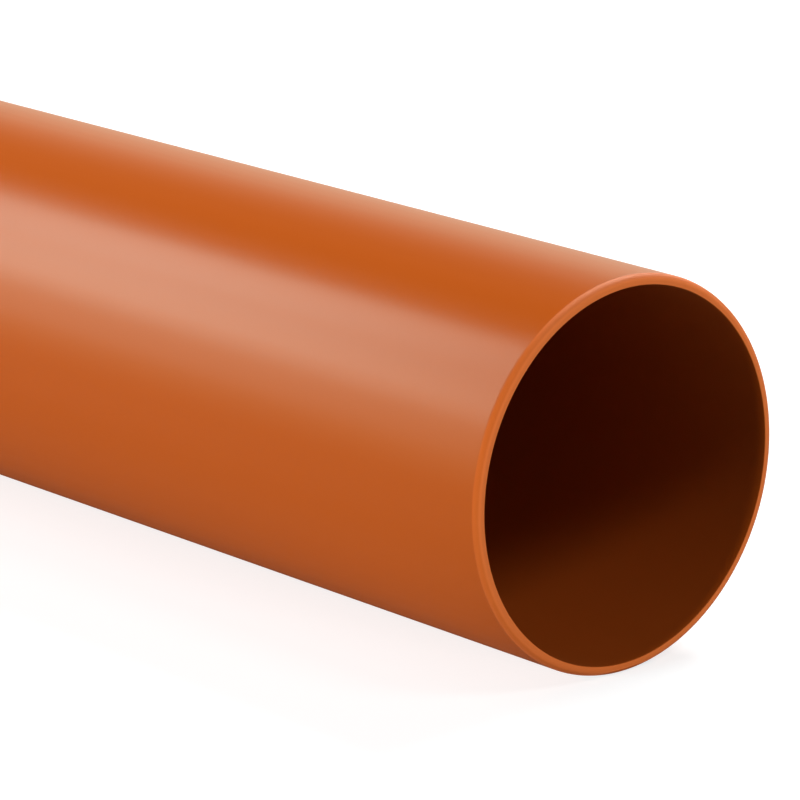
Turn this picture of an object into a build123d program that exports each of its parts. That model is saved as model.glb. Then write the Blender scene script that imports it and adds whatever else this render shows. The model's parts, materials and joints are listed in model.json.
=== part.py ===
from build123d import *
import os

# A plain-ended sewer pipe of unplasticised PVC: one round tube, extruded whole and sawn square.
# It lies level along X, with its lowest line on the floor, Z = 0.
# The origin is on the floor under the middle of the pipe. All sizes are in millimetres.

outside_diameter = 160.0
wall_thickness = 4.2
pipe_length = 1000.0

# Both sawn ends are dressed alike: the burr is taken off the edge of the bore, a flat land is left
# on the cut, and the rest of the wall is rounded off so that the end slips into a socket's seal.
bore_edge_radius = 0.3
end_land = 0.9

outside_radius = outside_diameter / 2
bore_radius = outside_radius - wall_thickness
outer_edge_radius = wall_thickness - end_land - bore_edge_radius

# The section is drawn at the -X end, round the pipe's axis, and drawn out along +X.
back_end = Plane(origin=(-pipe_length / 2, 0, outside_radius), x_dir=(0, 1, 0), z_dir=(1, 0, 0))

with BuildPart() as pipe:
    with BuildSketch(back_end):
        Circle(outside_radius)
        Circle(bore_radius, mode=Mode.SUBTRACT)
    extrude(amount=pipe_length)

    bore_end_edges = pipe.edges().filter_by(GeomType.CIRCLE).group_by(SortBy.RADIUS)[0]
    fillet(bore_end_edges, radius=bore_edge_radius)

    outer_end_edges = pipe.edges().filter_by(GeomType.CIRCLE).group_by(SortBy.RADIUS)[-1]
    fillet(outer_end_edges, radius=outer_edge_radius)

pipe.part.label = "pipe"

os.makedirs("parts", exist_ok=True)
export_step(pipe.part, "parts/pipe.step")
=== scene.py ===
import json
import math

import bmesh
import bpy
from mathutils import Matrix, Vector


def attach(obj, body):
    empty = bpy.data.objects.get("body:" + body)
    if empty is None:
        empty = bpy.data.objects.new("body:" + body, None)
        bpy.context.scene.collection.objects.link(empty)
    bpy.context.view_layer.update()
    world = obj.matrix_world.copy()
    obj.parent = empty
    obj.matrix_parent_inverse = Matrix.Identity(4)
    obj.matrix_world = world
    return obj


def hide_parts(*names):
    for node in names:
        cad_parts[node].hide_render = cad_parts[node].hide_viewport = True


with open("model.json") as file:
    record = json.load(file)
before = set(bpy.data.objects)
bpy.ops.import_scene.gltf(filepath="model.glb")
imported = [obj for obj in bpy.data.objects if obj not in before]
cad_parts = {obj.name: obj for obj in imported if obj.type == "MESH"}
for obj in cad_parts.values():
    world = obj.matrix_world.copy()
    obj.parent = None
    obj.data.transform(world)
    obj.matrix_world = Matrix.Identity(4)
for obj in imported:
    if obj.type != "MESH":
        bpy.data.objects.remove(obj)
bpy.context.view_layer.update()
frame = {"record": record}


# The pipe: one round tube of unplasticised PVC, orange-brown right through. It is extruded through a
# die and sawn square, and its sawn ends are dressed: the outer edge is rounded to slip into a
# socket's seal, and the burr is off the edge of the bore. It lies along X on the floor.
MILLIMETRE = 0.001
mounts = {mount["name"]: mount for mount in frame["record"]["mounts"]}
outside_radius = mounts["spigot"]["dims"]["r_mm"] * MILLIMETRE
bore_radius = mounts["bore"]["dims"]["r_mm"] * MILLIMETRE
axis_height = mounts["spigot"]["pos_m"][2]
front_end = mounts["front_end"]["pos_m"][0]
back_end = mounts["back_end"]["pos_m"][0]
pipe_length = front_end - back_end
outer_rounding = (pipe_length - mounts["spigot"]["dims"]["length_mm"] * MILLIMETRE) / 2
bore_rounding = (pipe_length - mounts["bore"]["dims"]["length_mm"] * MILLIMETRE) / 2

facets_round = 256
spans_along = 20
outer_edge_steps = 16
bore_edge_steps = 5
same_point = 0.01 * MILLIMETRE
closing_ring = 0.4 * MILLIMETRE  # from a rounded edge to the ring that keeps the wall's shading true

tube = bmesh.new()
section = [
    tube.verts.new((end, 0, axis_height + radius))
    for end, radius in (
        (back_end, bore_radius),
        (front_end, bore_radius),
        (front_end, outside_radius),
        (back_end, outside_radius),
    )
]
section_edges = [tube.edges.new((section[i - 1], section[i])) for i in range(len(section))]
bmesh.ops.spin(
    tube,
    geom=section + section_edges,
    cent=(0, 0, axis_height),
    axis=(1, 0, 0),
    angle=math.tau,
    steps=facets_round,
    use_merge=True,
)
bmesh.ops.remove_doubles(tube, verts=tube.verts, dist=same_point)
bmesh.ops.recalc_face_normals(tube, faces=tube.faces)


def end_circles(radius):
    """The edges of that radius round both sawn ends."""

    def on_circle(point, end):
        from_axis = math.hypot(point.y, point.z - axis_height)
        return abs(point.x - end) < bore_rounding / 2 and abs(from_axis - radius) < bore_rounding / 2

    return [
        edge
        for edge in tube.edges
        for end in (back_end, front_end)
        if all(on_circle(vert.co, end) for vert in edge.verts)
    ]


for radius, rounding, steps in (
    (outside_radius, outer_rounding, outer_edge_steps),
    (bore_radius, bore_rounding, bore_edge_steps),
):
    bmesh.ops.bevel(
        tube,
        geom=end_circles(radius),
        offset=rounding,
        offset_type="OFFSET",
        affect="EDGES",
        segments=steps,
        profile=0.5,
        material=-1,
    )

straight_end = front_end - outer_rounding - closing_ring
for step in range(spans_along + 1):
    ring_place = -straight_end + 2 * straight_end * step / spans_along
    bmesh.ops.bisect_plane(
        tube,
        geom=tube.verts[:] + tube.edges[:] + tube.faces[:],
        plane_co=(ring_place, 0, 0),
        plane_no=(1, 0, 0),
    )
for face in tube.faces:
    face.smooth = True

pipe_mesh = bpy.data.meshes.new("sewer_pipe")
tube.to_mesh(pipe_mesh)
tube.free()
sewer_pipe = bpy.data.objects.new("sewer_pipe", pipe_mesh)
bpy.context.scene.collection.objects.link(sewer_pipe)


class Wire:
    """One output socket in a node tree. Sums on wires and numbers add Math nodes to that tree."""

    def __init__(self, socket):
        self.socket = socket
        self.tree = socket.id_data

    @classmethod
    def node(cls, tree, kind, settings, inputs, output=0):
        """Adds a node, gives it its settings and then its sockets, and returns one of its outputs."""
        made = tree.nodes.new(kind)
        for name, value in settings.items():
            setattr(made, name, value)
        for name, value in inputs.items():
            if isinstance(value, cls):
                tree.links.new(value.socket, made.inputs[name])
            else:
                made.inputs[name].default_value = value
        return cls(made.outputs[output]) if made.outputs else made

    def work_out(self, operation, *terms):
        inputs = dict(enumerate(terms))
        return Wire.node(self.tree, "ShaderNodeMath", {"operation": operation}, inputs)

    def __add__(self, other):
        return self.work_out("ADD", self, other)

    def __sub__(self, other):
        return self.work_out("SUBTRACT", self, other)

    def __rsub__(self, other):
        return self.work_out("SUBTRACT", other, self)

    def __mul__(self, other):
        return self.work_out("MULTIPLY", self, other)

    def __pow__(self, other):
        return self.work_out("POWER", self, other)

    def __abs__(self):
        return self.work_out("ABSOLUTE", self)

    __radd__ = __add__
    __rmul__ = __mul__


def rise(value, start, stop):
    """0 before start, 1 after stop and smooth between."""
    return Wire.node(
        value.tree,
        "ShaderNodeMapRange",
        {"interpolation_type": "SMOOTHSTEP"},
        {"Value": value, "From Min": start, "From Max": stop},
    )


def blend(share, first, second):
    """The first colour where share is 0, and the second where it is 1."""
    first_colour, second_colour, blended_colour = 6, 7, 2  # a Mix node's sockets for colours
    return Wire.node(
        share.tree,
        "ShaderNodeMix",
        {"data_type": "RGBA"},
        {"Factor": share, first_colour: first, second_colour: second},
        blended_colour,
    )


pvc = bpy.data.materials.new("orange_pvc")
pvc.use_nodes = True
pvc.node_tree.nodes.clear()


def pvc_node(kind, inputs, output=0):
    return Wire.node(pvc.node_tree, kind, {}, inputs, output)


place_on_pipe = pvc_node("ShaderNodeTexCoord", {}, "Object")
along, across, up = (
    pvc_node("ShaderNodeSeparateXYZ", {"Vector": place_on_pipe}, axis) for axis in "XYZ"
)
from_axis = (across**2 + (up - axis_height) ** 2) ** 0.5


def grain(stretch, scale, detail):
    """Noise over the pipe, about 0 to 1 and 0.5 on average, drawn out along the pipe by stretch."""
    drawn_out = pvc_node("ShaderNodeMapping", {"Vector": place_on_pipe, "Scale": (1 / stretch, 1, 1)})
    return pvc_node("ShaderNodeTexNoise", {"Vector": drawn_out, "Scale": scale, "Detail": detail})


clouds = grain(stretch=3, scale=9, detail=2)
flow_lines = grain(stretch=160, scale=120, detail=3)
die_lines = grain(stretch=400, scale=520, detail=2)
tool_marks = grain(stretch=0.2, scale=900, detail=2)

# The dressed ends, by how far along the pipe a point lies: the rounding starts, is well under way,
# nears the flat cut and has reached it. The bore's own rounding keeps them apart from the bore.
rounding_starts = front_end - outer_rounding
rounding_under_way = front_end - outer_rounding * 0.75
cut_is_near = front_end - outer_rounding * 0.25
cut_is_reached = front_end - outer_rounding * 0.04
clear_of_bore = rise(from_axis, bore_radius, bore_radius + bore_rounding)
dressed = rise(abs(along), rounding_starts, rounding_under_way) * clear_of_bore
on_the_cut = rise(abs(along), cut_is_near, cut_is_reached)

# The cut shows the paler plastic that the saw has roughened, and the rounded edge some of it.
extruded_colour = (0.470, 0.0850, 0.0040, 1)
darker_colour = (0.443, 0.0795, 0.0036, 1)
sawn_colour = (0.725, 0.168, 0.034, 1)
cloud_share = 0.6
rounded_edge_share = 0.4
tint = blend(clouds * cloud_share + flow_lines * (1 - cloud_share), darker_colour, extruded_colour)
paled = dressed * (rounded_edge_share + (1 - rounded_edge_share) * on_the_cut)
colour = blend(paled, tint, sawn_colour)

# The die leaves the outside satin. The dressed ends and the bore are duller.
satin = 0.26
flow_dulling = 0.08
dressed_dulling = 0.36
bore_dulling = 0.28
in_bore = 1 - clear_of_bore
roughness = satin + flow_lines * flow_dulling + dressed * dressed_dulling + in_bore * bore_dulling

die_line_depth = 0.006 * MILLIMETRE
cloud_depth = 4  # in die lines
tool_mark_depth = 0.02 * MILLIMETRE
wall_relief = pvc_node(
    "ShaderNodeBump",
    {"Strength": 1.0, "Distance": die_line_depth, "Height": die_lines + clouds * cloud_depth},
)
relief = pvc_node(
    "ShaderNodeBump",
    {
        "Strength": 1.0,
        "Distance": tool_mark_depth,
        "Height": dressed * tool_marks,
        "Normal": wall_relief,
    },
)

pvc_ior = 1.53
warm_gloss = (1, 0.99, 0.76, 1)
surface = pvc_node(
    "ShaderNodeBsdfPrincipled",
    {
        "Base Color": colour,
        "Roughness": roughness,
        "IOR": pvc_ior,
        "Specular Tint": warm_gloss,
        "Normal": relief,
    },
)
pvc_node("ShaderNodeOutputMaterial", {"Surface": surface})

pipe_mesh.materials.append(pvc)
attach(sewer_pipe, "root")
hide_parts("pipe")


# The floor: a plain painted studio floor that the pipe lies on. The camera sees it white, with the
# pipe's soft shadow. Gloss shows it cream from further off, and close by as its paint is lit.
floor_reach = 30.0
floor_shape = bmesh.new()
bmesh.ops.create_grid(floor_shape, x_segments=1, y_segments=1, size=floor_reach)
floor_mesh = bpy.data.meshes.new("floor")
floor_shape.to_mesh(floor_mesh)
floor_shape.free()
floor = bpy.data.objects.new("floor", floor_mesh)
bpy.context.scene.collection.objects.link(floor)

white_paint = bpy.data.materials.new("white_paint")
white_paint.use_nodes = True
white_paint.node_tree.nodes.clear()


def paint_node(kind, inputs, output=0):
    return Wire.node(white_paint.node_tree, kind, {}, inputs, output)


def ray_fact(tree, fact):
    """What is known of the ray that meets a surface, such as whether the camera sent it."""
    return Wire.node(tree, "ShaderNodeLightPath", {}, {}, fact)


pure_white = (1, 1, 1, 1)
cream = (0.82, 0.79, 0.60, 1)


def studio_white(tree):
    """The studio's colour: cream where gloss shows it, and pure white where it is seen itself."""
    return blend(ray_fact(tree, "Is Glossy Ray"), pure_white, cream)


def grey(level):
    return (level, level, level, 1)


paint_grey = grey(0.22)  # what the paint throws back at the pipe, low enough to leave the bore dark
ground_glow = 0.78  # what the camera sees of the ground where no lamp reaches it
ground_grey = grey(0.38)  # how strongly the lamps' light and the pipe's shadow show on top of that
close_by, further_off = 0.90, 2.20  # lengths of a reflected ray between which paint turns to ground
shadow_ends, all_white = 1.0, 2.2  # distances from the pipe between which the ground goes plain white
paint = paint_node("ShaderNodeBsdfDiffuse", {"Color": paint_grey})
shadow = paint_node("ShaderNodeBsdfDiffuse", {"Color": ground_grey})
ground_colour = studio_white(white_paint.node_tree)
glow = paint_node("ShaderNodeEmission", {"Color": ground_colour, "Strength": ground_glow})
lit_ground = paint_node("ShaderNodeAddShader", {0: shadow, 1: glow})
white = paint_node("ShaderNodeEmission", {"Color": ground_colour, "Strength": 1.0})
place_on_floor = paint_node("ShaderNodeTexCoord", {}, "Object")
floor_x, floor_y = (
    paint_node("ShaderNodeSeparateXYZ", {"Vector": place_on_floor}, axis) for axis in "XY"
)
from_pipe = (floor_x**2 + floor_y**2) ** 0.5
far_off = rise(from_pipe, shadow_ends, all_white)
ground = paint_node("ShaderNodeMixShader", {"Fac": far_off, 1: lit_ground, 2: white})
to_camera = ray_fact(white_paint.node_tree, "Is Camera Ray")
through_glass = ray_fact(white_paint.node_tree, "Is Transmission Ray")
in_gloss = ray_fact(white_paint.node_tree, "Is Glossy Ray")
ray_length = ray_fact(white_paint.node_tree, "Ray Length")
shown_white = to_camera + through_glass + in_gloss * rise(ray_length, close_by, further_off)
look = paint_node("ShaderNodeMixShader", {"Fac": shown_white, 1: paint, 2: ground})
paint_node("ShaderNodeOutputMaterial", {"Surface": look})
floor_mesh.materials.append(white_paint)


# The studio: a white backdrop all round that ends softly above the pipe, under a dim ceiling, with
# flat lamps round the pipe and a light panel under it. The camera sees none of the lamps.
ambient = 0.04
backdrop_top, backdrop_end = 0.28, 0.52  # sines of the angles up at which the backdrop fades and is gone
world = bpy.data.worlds.new("studio")
bpy.context.scene.world = world
world.use_nodes = True
world.node_tree.nodes.clear()


def studio_node(kind, inputs, output=0):
    return Wire.node(world.node_tree, kind, {}, inputs, output)


shown = (
    ray_fact(world.node_tree, "Is Camera Ray")
    + ray_fact(world.node_tree, "Is Glossy Ray")
    + ray_fact(world.node_tree, "Is Transmission Ray")
)
direction = studio_node("ShaderNodeTexCoord", {}, "Generated")
steepness = studio_node("ShaderNodeSeparateXYZ", {"Vector": direction}, "Z")
backdrop = 1 - rise(steepness, backdrop_top, backdrop_end)
background = studio_node(
    "ShaderNodeBackground",
    {
        "Color": studio_white(world.node_tree),
        "Strength": ambient + (1 - ambient) * backdrop * shown,
    },
)
studio_node("ShaderNodeOutputWorld", {"Surface": background})


def soft_box(name, centre, target, width, height, radiance, shows_in_gloss=True):
    """A flat lamp at centre that faces target, its width as nearly along the pipe as it can lie."""
    lamp = bpy.data.lights.new(name, "AREA")
    lamp.shape = "RECTANGLE"
    lamp.size = width
    lamp.size_y = height
    lamp.energy = radiance * math.pi * width * height
    back = (Vector(centre) - Vector(target)).normalized()
    upright = back.cross(Vector((1, 0, 0))).normalized()
    turn = Matrix((upright.cross(back), upright, back)).transposed()
    holder = bpy.data.objects.new(name, lamp)
    holder.matrix_world = Matrix.Translation(centre) @ turn.to_4x4()
    holder.visible_camera = False
    holder.visible_glossy = shows_in_gloss
    bpy.context.scene.collection.objects.link(holder)


# The key makes the broad highlight along the wall, and the fill under it lets that run out softly.
# Both stand beyond the back end, where the wall mirrors them to the camera.
key_place = -1.59
beyond_back_end = (key_place, 0, axis_height)
soft_box(
    "key",
    centre=(key_place, -0.946, 1.370),
    target=beyond_back_end,
    width=1.14,
    height=1.475,
    radiance=5.0,
)
soft_box(
    "fill",
    centre=(key_place, -1.522, 0.574),
    target=beyond_back_end,
    width=1.14,
    height=0.62,
    radiance=1.25,
)

# The back lamp lights the top of the wall, and the side lamp the flank that the camera sees.
near_middle = (0.13, 0, axis_height)
soft_box(
    "back",
    centre=(0.08, 1.05, 1.40),
    target=near_middle,
    width=0.80,
    height=0.80,
    radiance=18.5,
)
soft_box(
    "side",
    centre=(0.20, -2.20, 0.45),
    target=near_middle,
    width=0.75,
    height=0.28,
    radiance=60,
    shows_in_gloss=False,
)

# The front lamp stands nearly in line with the pipe, and lights the rim and the bottom of the bore. The
# other, above the mouth, lights the rim and the end of the wall from the top.
mouth_middle = (front_end, 0, axis_height)
soft_box(
    "front",
    centre=(4.20, 0.10, 0.26),
    target=mouth_middle,
    width=0.40,
    height=0.40,
    radiance=131,
    shows_in_gloss=False,
)
soft_box(
    "front_top",
    centre=(1.60, 0.10, 1.60),
    target=mouth_middle,
    width=0.50,
    height=0.50,
    radiance=8.8,
)

# The panel lies on the floor and lights the wall from below. It ends at the mouths, so that the bore
# stays dark.
panel_thickness = 2 * MILLIMETRE
soft_box(
    "panel",
    centre=(0, 0, panel_thickness),
    target=(0, 0, 1),
    width=pipe_length,
    height=0.30,
    radiance=0.53,
    shows_in_gloss=False,
)

bpy.context.scene.view_settings.view_transform = "Standard"


# The camera: a long lens that looks down a little on the front mouth from the -Y side, so that the
# pipe runs out of the picture on the left. It is set from where the mouth's centre shows.
azimuth = math.radians(48.33)
elevation = math.radians(15.68)
sensor = 36.0
lens = 215.75
mouth_right, mouth_below, mouth_away = 1.16860, 0.39288, 24.51110  # in bore radii, from the lens

right = Vector((math.cos(azimuth), math.sin(azimuth), 0))
ahead = Vector(
    (
        -math.sin(azimuth) * math.cos(elevation),
        math.cos(azimuth) * math.cos(elevation),
        -math.sin(elevation),
    )
)
upward = right.cross(ahead)
mouth_from_lens = bore_radius * (mouth_right * right - mouth_below * upward + mouth_away * ahead)
place = Vector(mouth_middle) - mouth_from_lens

camera_data = bpy.data.cameras.new("camera")
camera_data.sensor_width = sensor
camera_data.lens = lens
camera = bpy.data.objects.new("camera", camera_data)
camera.matrix_world = Matrix.Translation(place) @ Matrix((right, upward, -ahead)).transposed().to_4x4()
bpy.context.scene.collection.objects.link(camera)
bpy.context.scene.camera = camera
